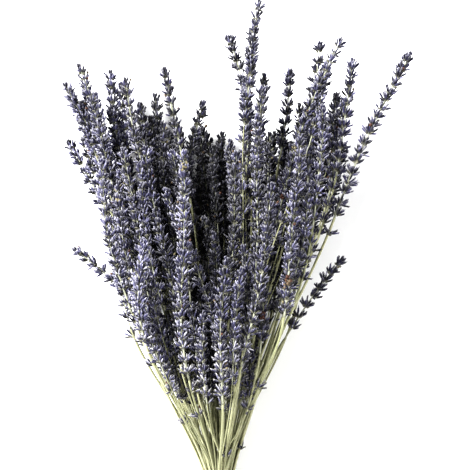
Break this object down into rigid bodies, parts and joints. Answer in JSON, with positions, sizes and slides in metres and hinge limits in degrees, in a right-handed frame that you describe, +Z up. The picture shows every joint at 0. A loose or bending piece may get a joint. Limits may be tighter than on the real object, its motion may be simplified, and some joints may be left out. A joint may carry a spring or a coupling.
{
  "type": "bunch of dried lavender",
  "caption": "Tied bunch of dried lavender lying on its side: spiky flower heads on thin square stems that fan out from a wound rubber band.",
  "frame": {"origin": "centre of the bunch's bounding box, on the surface that the bunch lies on", "axes": "+Y from the cut stems towards the flowers, +Z up from the surface, +X to the right as seen from above with the flowers away from the viewer"},
  "size_m": [0.2738, 0.4524, 0.1112],
  "materials": {
    "flower": "dull, dry and papery",
    "stems": "dull, dry straw green",
    "band": "dull natural rubber"
  },
  "bodies": {
    "root": {"head_01": "flower", "head_02": "flower", "head_03": "flower", "head_04": "flower", "head_05": "flower", "head_06": "flower", "head_07": "flower", "head_08": "flower", "head_09": "flower", "head_10": "flower", "head_11": "flower", "head_12": "flower", "head_13": "flower", "head_14": "flower", "head_15": "flower", "head_16": "flower", "head_17": "flower", "head_18": "flower", "head_19": "flower", "head_20": "flower", "head_21": "flower", "head_22": "flower", "head_23": "flower", "head_24": "flower", "head_25": "flower", "head_26": "flower", "head_27": "flower", "head_28": "flower", "head_29": "flower", "head_30": "flower", "head_31": "flower", "head_32": "flower", "head_33": "flower", "head_34": "flower", "head_35": "flower", "head_36": "flower", "head_37": "flower", "head_38": "flower", "head_39": "flower", "head_40": "flower", "head_41": "flower", "head_42": "flower", "head_43": "flower", "head_44": "flower", "head_45": "flower", "head_46": "flower", "head_47": "flower", "head_48": "flower", "head_49": "flower", "head_50": "flower", "head_51": "flower", "head_52": "flower", "head_53": "flower", "head_54": "flower", "head_55": "flower", "head_56": "flower", "head_57": "flower", "head_58": "flower", "stems": "stems", "band": "band"}
  },
  "joints": []
}
